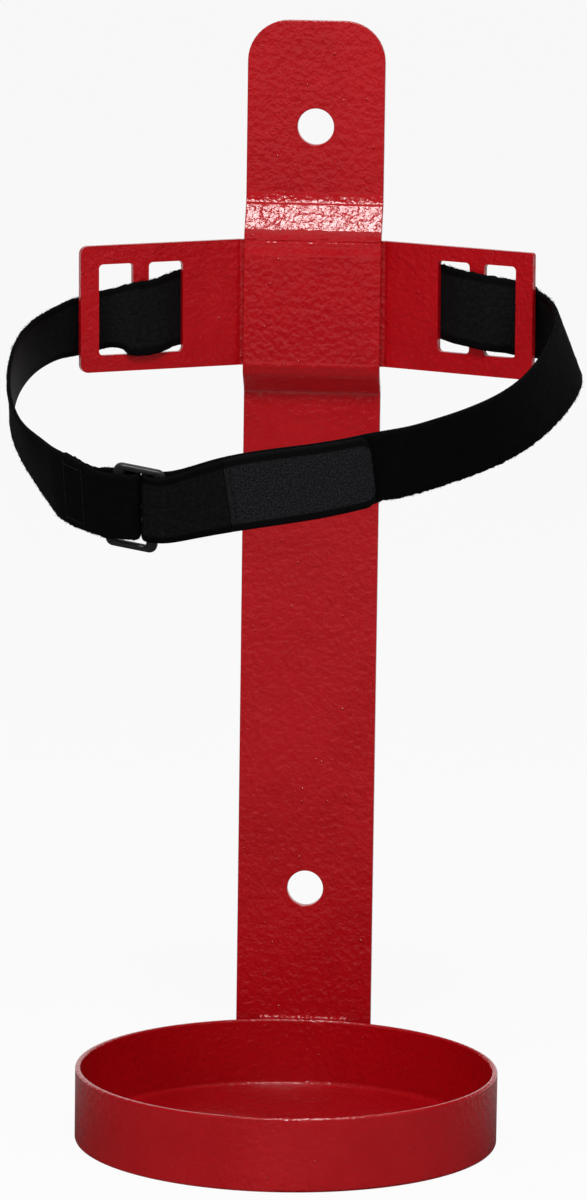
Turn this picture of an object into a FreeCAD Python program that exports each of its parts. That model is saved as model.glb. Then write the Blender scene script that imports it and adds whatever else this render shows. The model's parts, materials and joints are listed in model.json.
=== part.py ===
"""Fire extinguisher bracket: a steel back strip with a cup, slotted wings and a hook-and-loop strap.

Millimetres, +Z up. The origin is the centre of the cup's underside, so +Z runs up the axis of the
cylinder that the bracket holds. The wall is the plane behind the strip, and the front faces -Y.
"""

import FreeCAD, Part
import Sketcher
import math
import os
from collections import namedtuple

Vector = FreeCAD.Vector
UP = Vector(0, 0, 1)
FORWARD = Vector(0, -1, 0)
MILLI = 0.001

SIZES = {
    # Back strip: flat bar with a forward step that makes room for the cross plate and the strap.
    "strip_half": 25.3,
    "strip_tall": 402.0,
    "strip_thick": 3.0,
    "strip_corner": 15.0,
    "edge_round": 0.4,
    "step_deep": 7.0,
    "step_low_start": 266.0,
    "step_low_end": 273.2,
    "step_high_start": 323.0,
    "step_high_end": 334.2,
    "bend_in": 3.0,
    "hole_radius": 6.7,
    "hole_low": 77.0,
    "hole_high": 363.0,
    # Cross plate: one sheet behind the step, bent forward into two slotted wings.
    "plate_thick": 2.0,
    "plate_half": 23.3,
    "plate_middle": 298.3,
    "plate_skew": 0.5,
    "fold_start": 26.5,
    "fold_in": 1.0,
    "wing_bend": 28.0,
    "wing_long": 62.85,
    "wing_corner_left": 3.0,
    "wing_corner_right": 1.2,
    "rail_wide": 7.2,
    "slot_wide": 13.45,
    "bar_wide": 6.2,
    "slot_half": 16.75,
    "slot_rise_left": -0.4,
    "slot_rise_right": 1.05,
    "slot_corner": 1.6,
    # Cup: a pressed round pan.
    "cup_radius": 77.0,
    "cup_tall": 27.0,
    "cup_thick": 2.0,
    "cup_heel": 1.2,
    "cup_inside": 1.5,
    "cup_lip": 0.8,
    "weld_radius": 1.5,
    "weld_half": 15.5,
    # Strap, its ring and its hook tab.
    "strap_wide": 27.4,
    "strap_thick": 1.8,
    "ring_half_tall": 16.3,
    "ring_half_wide": 9.25,
    "ring_bar": 4.0,
    "ring_end_bar": 2.3,
    "ring_corner": 3.0,
    "ring_thick": 2.6,
    "ring_round": 0.9,
    "ring_turn": 6.5,
    "ring_drop": 1.0,
    "tab_thick": 1.6,
    "tab_corner": 4.0,
}

# Free run of the strap from the left rail, round the front, to the right rail: x, y, z, the lean of
# the tape's width from upright in degrees, and the share of its width that it shows where it curls.
# These numbers weren't chosen by hand: they were fitted by least squares to the tape's edges in the
# photograph and rounded, except the shares after the first, which are set by eye. The ring lies on
# the middle one of three in line.
LOOP_STATIONS = [
    (-93.6, 41.8, 287.9, -12.5, 0.78),
    (-103.0, 6.4, 275.1, -2.5, 1),
    (-91.2, -39.5, 257.0, 19.9, 1),
    (-70.7, -71.6, 248.9, 12.2, 0.96),
    (-58.72, -80.03, 246.69, 18.3, 0.92),
    (-48.8, -81.2, 246.24, 18.3, 0.92),
    (-38.88, -82.37, 245.79, 18.3, 0.92),
    (-21.0, -78.0, 248.8, 15.4, 1),
    (16.1, -72.2, 255.0, 15.0, 1),
    (48.9, -61.0, 262.2, 18.7, 1),
    (78.6, -40.4, 272.0, 11.0, 1),
    (94.3, -5.8, 284.7, -10.5, 1),
    (89.9, 43.5, 295.0, -20.2, 1),
]
RING_STATION = 5
# How the strap weaves through a wing, from the rail to the root: distance along the wing from the
# fold, distance behind the wing's middle surface, then height, lean and share of the width on the
# left, and the same on the right. Most of the heights were fitted in the same way, and the other
# numbers are set by eye.
WEAVE = [
    (62.0, 6.0, (290.6, -9, 0.8), (295.7, -15, 1)),
    (56.5, 4.8, (292.0, -8, 0.775), (296.6, -9.5, 1)),
    (53.0, 3.0, (293.1, -6, 0.77), (297.7, -6.5, 1)),
    (49.5, 0.7, (293.8, -4, 0.8), (298.3, -3.5, 1)),
    (46.0, -1.3, (294.1, -1.5, 0.89), (298.8, -1, 1)),
    (43.0, -2.2, (293.9, 0, 0.985), (299.2, 0, 1)),
    (39.5, -2.2, (293.7, 0, 1), (299.6, 0, 1)),
    (36.0, -2.2, (294.2, 0, 1), (300.0, 0, 1)),
    (32.5, -1.9, (294.9, 0, 0.99), (300.3, 0, 1)),
    (29.2, -0.7, (295.8, 0, 0.99), (300.5, 0, 1)),
    (26.0, 0.9, (296.3, 0, 1), (300.8, 0, 1)),
    (22.5, 2.2, (296.7, 0, 1), (301.1, 0, 1)),
    (17.0, 2.2, (297.1, 0, 1), (301.4, 0, 1)),
    (9.0, 2.1, (297.3, 0, 1), (301.6, 0, 1)),
    (4.0, 2.2, (297.4, 0, 1), (301.7, 0, 1)),
]
# Behind the strip, from left to right: x and height.
MIDDLE = [(-27.0, 297.5), (-24.0, 297.7), (-19.0, 298.0), (-12.0, 298.5), (0.0, 299.5), (12.0, 300.5),
          (19.0, 301.0), (24.0, 301.4), (27.0, 301.6)]

RING_FLAT = 11.0
TAIL_LONG = 25.0
FOLD_LONG = 32.5
TAB_REACH = 84.5
LAYER_GAP = 0.2
SEAM = 0.1
END_STEP = 1.0
STATION_STEP = 7.0
TURN_STEPS = 6
SPAN = 4
BAR_CLEARANCE = 0.2
SEWN_REACH = 4.9
BAR_SLACK = 1.4
TAIL_DROP = 0.9

Station = namedtuple("Station", "centre across half")


def make_sheet(doc):
    """Writes the driving dimensions into a spreadsheet, one aliased cell each."""
    sheet = doc.addObject("Spreadsheet::Sheet", "Dims")
    for row, (name, value) in enumerate(SIZES.items(), start=1):
        sheet.set(f"A{row}", name)
        sheet.set(f"B{row}", str(value))
        sheet.setAlias(f"B{row}", name)
    doc.recompute()
    return sheet


def total(sheet, words):
    """Adds up named sizes, such as "cup_radius -cup_thick", as a value and as an expression."""
    value, terms = 0.0, "0"
    for word in words.split():
        name = word.lstrip("-")
        minus = word.startswith("-")
        value += -sheet.get(name) if minus else sheet.get(name)
        terms += (" - " if minus else " + ") + "Dims." + name
    return value, terms


def origin_plane(body, role):
    """Finds one of a body's own origin planes."""
    return next(f for f in body.Origin.OriginFeatures if f.Role == role)


def new_sketch(body, support, name):
    sketch = body.newObject("Sketcher::SketchObject", name)
    sketch.AttachmentSupport = [(support, "")]
    sketch.MapMode = "FlatFace"
    return sketch


def constrain(sketch, kind, *numbers):
    """Adds a constraint and returns its index."""
    return sketch.addConstraint(Sketcher.Constraint(kind, *numbers))


def bind(sketch, kind, element, point, words, sheet):
    """Sets a sketch point's distance from the sketch origin to a sum of named sizes."""
    value, terms = total(sheet, words)
    index = constrain(sketch, kind, -1, 1, element, point, value)
    if words:
        sketch.setExpression(f"Constraints[{index}]", terms)


def draw_polygon(sketch, corners, sheet):
    """Draws a closed polygon whose corners are pairs of named sums."""
    points = [Vector(total(sheet, u)[0], total(sheet, v)[0], 0) for u, v in corners]
    count = len(points)
    first = sketch.GeometryCount
    for i in range(count):
        sketch.addGeometry(Part.LineSegment(points[i], points[(i + 1) % count]), False)
    for i in range(count):
        constrain(sketch, "Coincident", first + i, 2, first + (i + 1) % count, 1)
    for i, (u, v) in enumerate(corners):
        bind(sketch, "DistanceX", first + i, 1, u, sheet)
        bind(sketch, "DistanceY", first + i, 1, v, sheet)


def draw_rectangle(sketch, low, high, sheet):
    draw_polygon(sketch, [low, (high[0], low[1]), high, (low[0], high[1])], sheet)


def draw_circle(sketch, radius, centre_v, sheet):
    """Draws a circle on the sketch's vertical axis."""
    value = sheet.get(radius)
    height = sheet.get(centre_v)
    index = sketch.addGeometry(Part.Circle(Vector(0, height, 0), UP, value), False)
    bind(sketch, "DistanceX", index, 3, "", sheet)
    bind(sketch, "DistanceY", index, 3, centre_v, sheet)
    size = constrain(sketch, "Radius", index, value)
    sketch.setExpression(f"Constraints[{size}]", "Dims." + radius)


def pick_edges(shape, test):
    """Names the edges whose ends and middle satisfy a test."""
    names = []
    for number, edge in enumerate(shape.Edges, start=1):
        middle = edge.valueAt((edge.FirstParameter + edge.LastParameter) / 2)
        if test(edge, middle):
            names.append(f"Edge{number}")
    return names


def add_fillet(body, base, name, radius, test):
    """Rounds the edges that a test picks, with a radius bound to the sheet."""
    body.Document.recompute()
    edges = pick_edges(base.Shape, test)
    fillet = body.newObject("PartDesign::Fillet", name)
    fillet.Base = (base, edges)
    fillet.setExpression("Radius", radius)
    body.Document.recompute()
    return fillet


def along(edge, axis):
    """Says whether a straight edge runs along an axis."""
    if not isinstance(edge.Curve, Part.Line):
        return False
    return abs(abs(edge.Curve.Direction.dot(axis)) - 1) < 1e-6


def near(a, b, tolerance=0.05):
    return abs(a - b) < tolerance


def draw_strip_profile(sketch, sheet):
    """Draws the strip's side view: wall face up the back, parallel front face down again."""
    back = [("", ""), ("", "step_low_start"), ("-step_deep", "step_low_end"),
            ("-step_deep", "step_high_start"), ("", "step_high_end"), ("", "strip_tall")]
    points = [Vector(total(sheet, u)[0], total(sheet, v)[0], 0) for u, v in back]
    thick = sheet.get("strip_thick")
    front = [point - Vector(thick, 0, 0) for point in reversed(points)]
    outline = points + front
    count = len(outline)
    for i in range(count):
        sketch.addGeometry(Part.LineSegment(outline[i], outline[(i + 1) % count]), False)
    for i in range(count):
        constrain(sketch, "Coincident", i, 2, (i + 1) % count, 1)
    for i, (u, v) in enumerate(back):
        bind(sketch, "DistanceX", i, 1, u, sheet)
        bind(sketch, "DistanceY", i, 1, v, sheet)
    top_cap, bottom_cap = len(back) - 1, count - 1
    constrain(sketch, "Horizontal", top_cap)
    constrain(sketch, "Horizontal", bottom_cap)
    for rear in range(len(back) - 1):
        facing = count - 2 - rear
        constrain(sketch, "Parallel", rear, facing)
        gap = constrain(sketch, "Distance", facing, 1, rear, thick)
        sketch.setExpression(f"Constraints[{gap}]", "Dims.strip_thick")


def make_back_strip(doc, sheet):
    """Flat bar: profile padded across, bends and corners rounded, two bolt holes."""
    body = doc.addObject("PartDesign::Body", "BackStrip")
    body.Label = "back_strip"
    profile = new_sketch(body, origin_plane(body, "YZ_Plane"), "StripProfile")
    draw_strip_profile(profile, sheet)
    pad = body.newObject("PartDesign::Pad", "StripPad")
    pad.Profile = profile
    pad.Midplane = True
    pad.setExpression("Length", "2 * Dims.strip_half")

    deep, thick, tall = (sheet.get(n) for n in ("step_deep", "strip_thick", "strip_tall"))
    across = Vector(1, 0, 0)

    def is_bend(edge, middle):
        return along(edge, across) and 1 < middle.z < tall - 1

    def is_inner_bend(edge, middle):
        return is_bend(edge, middle) and (near(middle.y, -thick) or near(middle.y, -deep))

    def is_outer_bend(edge, middle):
        return is_bend(edge, middle) and (near(middle.y, 0) or near(middle.y, -deep - thick))

    inner = add_fillet(body, pad, "InnerBends", "Dims.bend_in", is_inner_bend)
    outer = add_fillet(body, inner, "OuterBends", "Dims.bend_in + Dims.strip_thick", is_outer_bend)
    corners = add_fillet(body, outer, "TopCorners", "Dims.strip_corner",
                         lambda e, m: along(e, FORWARD) and near(m.z, tall))
    holes = new_sketch(body, origin_plane(body, "XZ_Plane"), "BoltHoles")
    draw_circle(holes, "hole_radius", "hole_low", sheet)
    draw_circle(holes, "hole_radius", "hole_high", sheet)
    pocket = body.newObject("PartDesign::Pocket", "BoltPocket")
    pocket.Profile = holes
    pocket.Type = "ThroughAll"
    pocket.Midplane = True
    doc.recompute()
    half = sheet.get("strip_half")
    front = -thick

    def is_front_rim(edge, middle):
        side = near(abs(middle.x), half) and middle.y < front + 0.05 and edge.Length > 3
        hole = isinstance(edge.Curve, Part.Circle) and near(middle.y, front)
        return (side and not along(edge, FORWARD)) or hole

    soft = add_fillet(body, pocket, "SoftEdges", "Dims.edge_round", is_front_rim)
    body.Tip = soft
    body.Placement = FreeCAD.Placement(Vector(0, wall_at(sheet), 0), FreeCAD.Rotation())
    return body


def wall_at(sheet):
    """Distance of the wall plane from the cup's axis: the cup touches the strip's front face."""
    return sheet.get("cup_radius") + sheet.get("strip_thick")


def plate_back_at(sheet):
    """Y of the cross plate's rear face, which stands against the back of the step."""
    return wall_at(sheet) - sheet.get("step_deep") + sheet.get("plate_thick")


def wing_plane(body, front_plane, side):
    """Plane of a wing's rear face; side is -1 on the left and 1 on the right."""
    plane = body.newObject("PartDesign::Plane", "LeftWingPlane" if side < 0 else "RightWingPlane")
    plane.AttachmentSupport = [(front_plane, "")]
    plane.MapMode = "FlatFace"
    plane.AttachmentOffset = FreeCAD.Placement(Vector(), FreeCAD.Rotation(Vector(0, 1, 0), -side))
    outer = "(Dims.fold_in + Dims.plate_thick)"
    bend = "Dims.wing_bend * 1 deg"
    plane.setExpression("AttachmentOffset.Base.x", f"{side} * (Dims.fold_start + {outer} * sin({bend}))")
    plane.setExpression("AttachmentOffset.Base.z", f"{outer} * (1 - cos({bend}))")
    plane.setExpression("AttachmentOffset.Rotation.Angle", f"{-side} * {bend}")
    return plane


def cut_slots(body, plane, word, sheet):
    """Cuts a wing's outer and inner slots; word is left or right."""
    sketch = new_sketch(body, plane, f"Slots_{word}")
    rise = f"slot_rise_{word}"
    out, back = ("", "-") if word == "right" else ("-", "")
    edge = f"{out}wing_long {back}rail_wide"
    for outer in (edge, f"{edge} {back}slot_wide {back}bar_wide"):
        draw_rectangle(sketch, (outer, rise + " -slot_half"),
                       (f"{outer} {back}slot_wide", rise + " slot_half"), sheet)
    pocket = body.newObject("PartDesign::Pocket", f"SlotPocket_{word}")
    pocket.Profile = sketch
    pocket.Type = "ThroughAll"
    pocket.Midplane = True
    body.Document.recompute()
    return pocket


def make_cross_plate(doc, sheet):
    """Middle sheet, one bend and one slotted wing, then both mirrored to the left."""
    body = doc.addObject("PartDesign::Body", "CrossPlate")
    body.Label = "cross_plate"
    side_plane = origin_plane(body, "YZ_Plane")
    front_plane = origin_plane(body, "XZ_Plane")

    middle = new_sketch(body, front_plane, "PlateMiddle")
    draw_rectangle(middle, ("-fold_start", "-plate_half"), ("fold_start", "plate_half"), sheet)
    middle_pad = body.newObject("PartDesign::Pad", "MiddlePad")
    middle_pad.Profile = middle
    middle_pad.setExpression("Length", "Dims.plate_thick")

    section = new_sketch(body, side_plane, "FoldSection")
    section.setExpression("AttachmentOffset.Base.x", "-(Dims.fold_in + Dims.plate_thick)")
    section.setExpression("AttachmentOffset.Base.z", "Dims.fold_start")
    draw_rectangle(section, ("fold_in", "-plate_half"), ("fold_in plate_thick", "plate_half"), sheet)
    fold = body.newObject("PartDesign::Revolution", "Fold")
    fold.Profile = section
    fold.ReferenceAxis = (section, ["V_Axis"])
    fold.Reversed = True
    fold.setExpression("Angle", "Dims.wing_bend")

    plane = wing_plane(body, front_plane, 1)
    left_plane = wing_plane(body, front_plane, -1)
    doc.recompute()

    wing = new_sketch(body, plane, "WingOutline")
    draw_rectangle(wing, ("", "-plate_half"), ("wing_long", "plate_half"), sheet)
    wing_pad = body.newObject("PartDesign::Pad", "WingPad")
    wing_pad.Profile = wing
    wing_pad.setExpression("Length", "Dims.plate_thick")
    doc.recompute()

    mirror = body.newObject("PartDesign::Mirrored", "LeftWing")
    mirror.Originals = [fold, wing_pad]
    mirror.MirrorPlane = (side_plane, [""])
    body.Tip = mirror
    doc.recompute()

    half, slot_half, thick = (sheet.get(n) for n in ("plate_half", "slot_half", "plate_thick"))
    wing_start = sheet.get("fold_start") + 20
    tip = mirror
    for side, word in ((-1, "left"), (1, "right")):
        tip = add_fillet(body, tip, f"Corners_{word}", f"Dims.wing_corner_{word}",
                         lambda e, m: near(e.Length, thick) and near(abs(m.z), half)
                         and m.x * side > wing_start)
        slots = cut_slots(body, plane if side > 0 else left_plane, word, sheet)
        rise = sheet.get(f"slot_rise_{word}")
        tip = add_fillet(body, slots, f"SlotCorners_{word}", "Dims.slot_corner",
                         lambda e, m: near(e.Length, thick) and near(abs(m.z - rise), slot_half)
                         and m.x * side > 0)
    body.Tip = tip
    place = Vector(0, plate_back_at(sheet), sheet.get("plate_middle"))
    body.Placement = FreeCAD.Placement(place, FreeCAD.Rotation(Vector(0, 1, 0), -sheet.get("plate_skew")))
    return body


def make_cup(doc, sheet):
    """Pressed pan: an L section turned about the upright axis, its corners rounded."""
    body = doc.addObject("PartDesign::Body", "Cup")
    body.Label = "cup"
    section = new_sketch(body, origin_plane(body, "XZ_Plane"), "CupSection")
    inside = "cup_radius -cup_thick"
    draw_polygon(section, [("", ""), ("cup_radius", ""), ("cup_radius", "cup_tall"),
                           (inside, "cup_tall"), (inside, "cup_thick"), ("", "cup_thick")], sheet)
    turned = body.newObject("PartDesign::Revolution", "CupTurned")
    turned.Profile = section
    turned.ReferenceAxis = (section, ["V_Axis"])
    turned.Angle = 360
    doc.recompute()
    outside, thick, tall = (sheet.get(n) for n in ("cup_radius", "cup_thick", "cup_tall"))

    def circle_at(radius, height):
        def test(edge, middle):
            round_edge = isinstance(edge.Curve, Part.Circle)
            return round_edge and near(middle.z, height) and near(edge.Curve.Radius, radius)
        return test

    heel = add_fillet(body, turned, "Heel", "Dims.cup_heel", circle_at(outside, 0))
    floor = add_fillet(body, heel, "FloorRound", "Dims.cup_inside", circle_at(outside - thick, thick))
    lip_in = add_fillet(body, floor, "LipInside", "Dims.cup_lip", circle_at(outside - thick, tall))
    lip_out = add_fillet(body, lip_in, "LipOutside", "Dims.cup_lip", circle_at(outside, tall))
    body.Tip = lip_out
    return body


def make_weld(doc, sheet, cup, strip):
    """Weld bead between the cup's rim and the strip: a round-ended rod trimmed by both."""
    radius, half = sheet.get("weld_radius"), sheet.get("weld_half")
    rod = Part.makeCylinder(radius, 2 * half, Vector(-half, 0, 0), Vector(1, 0, 0))
    for end in (-half, half):
        rod = rod.fuse(Part.makeSphere(radius, Vector(end, 0, 0)))
    bead = rod.removeSplitter()
    lift = Vector(0, sheet.get("cup_radius") - 0.3, sheet.get("cup_tall") + 0.5)
    bead.translate(lift)
    bead = bead.cut(cup.Shape).cut(strip.Shape)
    solid = max(bead.Solids, key=lambda s: s.Volume)
    return add_shape(doc, "CupWeld", "cup_weld", solid)


def add_shape(doc, name, label, shape):
    feature = doc.addObject("Part::Feature", name)
    feature.Label = label
    feature.Shape = shape
    return feature


def spline(points, parameters):
    curve = Part.BSplineCurve()
    curve.interpolate(Points=points, Parameters=parameters)
    return curve


def chord_parameters(points):
    """Running straight-line distances along a list of points."""
    marks = [0.0]
    for before, after in zip(points, points[1:]):
        marks.append(marks[-1] + after.distanceToPoint(before))
    return marks


def square_to(vector, direction):
    """The part of a vector that is square to a direction, at unit length."""
    part = vector - direction * vector.dot(direction)
    return part.normalize()


def leaned(tangent, degrees):
    """Width direction of a tape that runs along a tangent and leans from upright."""
    upright = square_to(Vector(UP), tangent)
    side = tangent.cross(upright)
    angle = math.radians(degrees)
    return upright * math.cos(angle) + side * math.sin(angle)


def wing_station(sheet, side, weave):
    """A point of the strap beside a wing; side is -1 on the left and 1 on the right."""
    reach, behind, *sides = weave
    height, lean, share = sides[0] if side < 0 else sides[1]
    bend, tilt = math.radians(sheet.get("wing_bend")), math.radians(lean)
    out = Vector(side * math.cos(bend), -math.sin(bend), 0)
    rear = Vector(side * math.sin(bend), math.cos(bend), 0)
    fold_x = sheet.get("fold_start") + 0.5
    root = Vector(side * fold_x, plate_back_at(sheet) - sheet.get("plate_thick") / 2, height)
    across = UP * math.cos(tilt) + rear * math.sin(tilt)
    half = share * sheet.get("strap_wide") / 2
    return Station(root + out * reach + rear * behind, across, half)


class LoopLine:
    """The free run as a curve from rail to rail, with the tape's width direction along it."""

    def __init__(self, sheet):
        left = wing_station(sheet, -1, WEAVE[0])
        right = wing_station(sheet, 1, WEAVE[0])
        points = [left.centre] + [Vector(*s[:3]) for s in LOOP_STATIONS] + [right.centre]
        marks = chord_parameters(points)
        self.middle = spline(points, marks)
        tips = [left.centre + square_to(left.across, self.tangent(marks[0])) * left.half]
        for point, mark, (lean, share) in zip(points[1:], marks[1:], [s[3:] for s in LOOP_STATIONS]):
            half = share * sheet.get("strap_wide") / 2
            tips.append(point + leaned(self.tangent(mark), lean) * half)
        tips.append(right.centre + square_to(right.across, self.tangent(marks[-1])) * right.half)
        self.tips = spline(tips, marks)
        self.length = self.middle.length()
        self.ring_at = self.middle.length(marks[0], marks[RING_STATION + 1])
        self.fold_end = self.ring_at + FOLD_LONG
        self.tab_end = self.ring_at + TAB_REACH
        self.ring_turn = sheet.get("ring_turn")

    def tangent(self, mark):
        return self.middle.tangent(mark)[0].normalize()

    def frame(self, distance):
        """Centre, tangent, width direction and half width at a distance along the loop."""
        mark = self.middle.parameterAtDistance(distance, self.middle.FirstParameter)
        centre, tangent = self.middle.value(mark), self.tangent(mark)
        reach = self.tips.value(mark) - centre
        reach = reach - tangent * reach.dot(tangent)
        half = reach.Length
        return centre, tangent, reach.normalize(), half

    def ring_frame(self):
        """The ring's centre, its direction along the tape, the way its bars run, and half width."""
        centre, tangent, across, half = self.frame(self.ring_at)
        turn = FreeCAD.Rotation(tangent.cross(across), -self.ring_turn)
        return centre, turn.multVec(tangent), turn.multVec(across), half

    def station(self, distance, lift=0.0):
        """A point at a distance along the loop, lifted outwards; the tape runs straight at the ring."""
        off = distance - self.ring_at
        flat = abs(off) <= RING_FLAT
        centre, tangent, across, half = self.frame(self.ring_at if flat else distance)
        if flat:
            centre = centre + tangent * off
        return Station(centre + tangent.cross(across) * lift, across, half)

    def stations(self, profile):
        return [self.station(distance, lift) for distance, lift in profile]


def turn_profile(centre, radius, towards):
    """Half a turn round a ring bar as distances and lifts; towards is the side it bulges to."""
    profile = []
    for step in range(TURN_STEPS + 1):
        angle = math.pi * (step / TURN_STEPS - 0.5)
        profile.append((centre + towards * radius * math.cos(angle), radius * math.sin(angle)))
    return profile


def spaced(start, end, step):
    """Evenly spaced distances from start to end, both included."""
    count = max(1, round(abs(end - start) / step))
    return [start + (end - start) * i / count for i in range(count + 1)]


def strap_stations(sheet, loop):
    """The whole tape, from its sewn tail to the end that carries the hook tab."""
    layer = (sheet.get("strap_thick") + LAYER_GAP) / 2
    bar_half = sheet.get("ring_thick") / 2
    radius = bar_half + BAR_CLEARANCE + sheet.get("strap_thick") / 2
    bar_at = sheet.get("ring_half_wide") - sheet.get("ring_bar") / 2
    turn_at = sheet.get("ring_bar") / 2 - bar_half
    left_bar, right_bar = loop.ring_at - bar_at, loop.ring_at + bar_at
    tail_start = left_bar - TAIL_LONG

    tail = [(d, -layer - 0.05) for d in spaced(tail_start, left_bar - 13, 3)]
    tail += [(left_bar - 10, -layer - 0.35), (left_bar - 6, -radius + 0.5), (left_bar - 2.2, -radius)]
    tail += [(left_bar + 2.5, -radius)]
    left_turn = turn_profile(left_bar + turn_at + SEWN_REACH, radius, 1)
    left_front = [(d, -lift) for d, lift in reversed(tail)]
    left_run = [(tail_start - 4, layer + 0.05), (tail_start - 10, 0.5)]
    left_run += [(d, 0.0) for d in spaced(tail_start - 18, STATION_STEP, STATION_STEP)]

    weave_left = [wing_station(sheet, -1, w) for w in WEAVE]
    weave_right = [wing_station(sheet, 1, w) for w in WEAVE]
    behind = plate_back_at(sheet) + sheet.get("strap_thick") / 2 + 2 * BAR_CLEARANCE
    middle = [Station(Vector(x, behind, z), UP, sheet.get("strap_wide") / 2) for x, z in MIDDLE]

    under = -2 * layer
    right_run = [(d, 0.0) for d in spaced(loop.length - STATION_STEP, loop.tab_end + 16, STATION_STEP)]
    right_run += [(d, under) for d in spaced(loop.tab_end, right_bar + 16, STATION_STEP)]
    right_run += [(right_bar + 10, under - 0.15), (right_bar + 6, 0.2 - radius), (right_bar + 2.2, -radius)]
    right_turn = turn_profile(right_bar - turn_at - BAR_SLACK, radius, -1)
    fold = [(right_bar + 2.2, radius), (right_bar + 6, radius - 0.9), (right_bar + 10, 0.6),
            (right_bar + 15, 0.1)]
    fold += [(d, 0.0) for d in spaced(right_bar + 22, loop.fold_end - END_STEP, 3) + [loop.fold_end]]

    sewn = []
    for (distance, _), place in zip(tail, loop.stations(tail)):
        drop = TAIL_DROP * min(1.0, (left_bar + 2.5 - distance) / 12)
        sewn.append(Station(place.centre - place.across * drop, place.across, place.half))
    before = left_turn + left_front + left_run
    after = right_run + right_turn + fold
    weave = weave_left + middle + list(reversed(weave_right))
    return sewn + loop.stations(before) + weave + loop.stations(after)


def split_marks(marks):
    """Cuts a list of parameters into spans of a few stations each."""
    cuts = marks[:-SPAN // 2:SPAN] + marks[-1:]
    return list(zip(cuts, cuts[1:]))


def ribbon(stations, thick):
    """A tape of even thickness through its stations: four curved sides and two flat ends."""
    points = [station.centre for station in stations]
    marks = chord_parameters(points)
    middle = spline(points, marks)
    corners = [[], [], [], []]
    signs = ((1, 1), (-1, 1), (-1, -1), (1, -1))
    for station, mark in zip(stations, marks):
        tangent = middle.tangent(mark)[0].normalize()
        across = square_to(station.across, tangent)
        face = tangent.cross(across)
        for rail, (wide, deep) in zip(corners, signs):
            rail.append(station.centre + across * (wide * station.half) + face * (deep * thick / 2))
    curves = [spline(rail, marks) for rail in corners]
    faces = []
    for start, end in split_marks(marks):
        rails = [curve.toShape(start, end) for curve in curves]
        faces += [Part.makeRuledSurface(rails[i], rails[(i + 1) % 4]) for i in range(4)]
    for end in (0, -1):
        ring = [rail[end] for rail in corners]
        faces.append(Part.Face(Part.makePolygon(ring + ring[:1])))
    shell = Part.makeShell(faces)
    shell.sewShape()
    solid = Part.makeSolid(shell)
    if solid.Volume < 0:
        solid.reverse()
    return solid


def end_frame(loop, distance, lift):
    """Placement at a distance along the loop: X along the tape, Y up its width, Z off its face."""
    centre, tangent, across, half = loop.frame(distance)
    face = tangent.cross(across)
    return FreeCAD.Placement(centre + face * lift, FreeCAD.Rotation(tangent, across, face, "XYZ"))


def make_ring(doc, sheet, loop):
    """Moulded ring: rounded outline with one opening, padded both ways and softened."""
    body = doc.addObject("PartDesign::Body", "StrapRing")
    body.Label = "strap_ring"
    outline = new_sketch(body, origin_plane(body, "XY_Plane"), "RingOutline")
    draw_rectangle(outline, ("-ring_half_wide", "-ring_half_tall"),
                   ("ring_half_wide", "ring_half_tall"), sheet)
    draw_rectangle(outline, ("-ring_half_wide ring_bar", "-ring_half_tall ring_end_bar"),
                   ("ring_half_wide -ring_bar", "ring_half_tall -ring_end_bar"), sheet)
    pad = body.newObject("PartDesign::Pad", "RingPad")
    pad.Profile = outline
    pad.Midplane = True
    pad.setExpression("Length", "Dims.ring_thick")
    half = sheet.get("ring_half_tall")
    corners = add_fillet(body, pad, "RingCorners", "Dims.ring_corner",
                         lambda e, m: along(e, UP) and near(abs(m.y), half))
    flat = sheet.get("ring_thick") / 2
    soft = add_fillet(body, corners, "RingSoft", "Dims.ring_round",
                      lambda e, m: near(abs(m.z), flat))
    body.Tip = soft
    centre, along_ring, bar, half = loop.ring_frame()
    turn = FreeCAD.Rotation(along_ring, bar, along_ring.cross(bar), "XYZ")
    body.Placement = FreeCAD.Placement(centre - bar * sheet.get("ring_drop"), turn)
    return body


def make_strap(doc, sheet, loop):
    shape = ribbon(strap_stations(sheet, loop), sheet.get("strap_thick"))
    return add_shape(doc, "Strap", "strap", shape)


def corner_cutter(radius, half):
    """What a rounded corner takes off a tape's end, for both corners, in the end's own frame."""
    reach = radius + 1
    cutters = []
    for side in (-1, 1):
        low = half - radius if side > 0 else -half - 1
        block = Part.makeBox(reach, reach, reach, Vector(-radius, low, -reach / 2))
        foot = Vector(-radius, side * (half - radius), -reach)
        cutters.append(block.cut(Part.makeCylinder(radius, 2 * reach, foot)))
    return Part.makeCompound(cutters)


def make_hook_tab(doc, sheet, loop):
    """Hook tape that carries on from the tape's end and lies on the run below it."""
    thick = sheet.get("tab_thick")
    lift = (thick - sheet.get("strap_thick")) / 2
    start = loop.fold_end + SEAM
    distances = [start] + spaced(start + END_STEP, loop.tab_end, STATION_STEP)
    profile = [(d, lift) for d in distances]
    shape = ribbon(loop.stations(profile), thick)
    cutter = corner_cutter(sheet.get("tab_corner"), loop.frame(loop.tab_end)[3])
    cutter.Placement = end_frame(loop, loop.tab_end, lift)
    return add_shape(doc, "HookTab", "hook_tab", shape.cut(cutter).Solids[0])


def check(doc, parts):
    """Stops the build if any object failed or any piece is not one valid solid."""
    for item in doc.Objects:
        if "Invalid" in item.State or "Error" in item.State:
            raise RuntimeError(f"{item.Name} failed: {item.State}")
    for part in parts:
        shape = part.Shape
        if shape.isNull() or not shape.isValid() or len(shape.Solids) != 1:
            raise RuntimeError(f"{part.Label} is not one valid solid")


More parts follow.
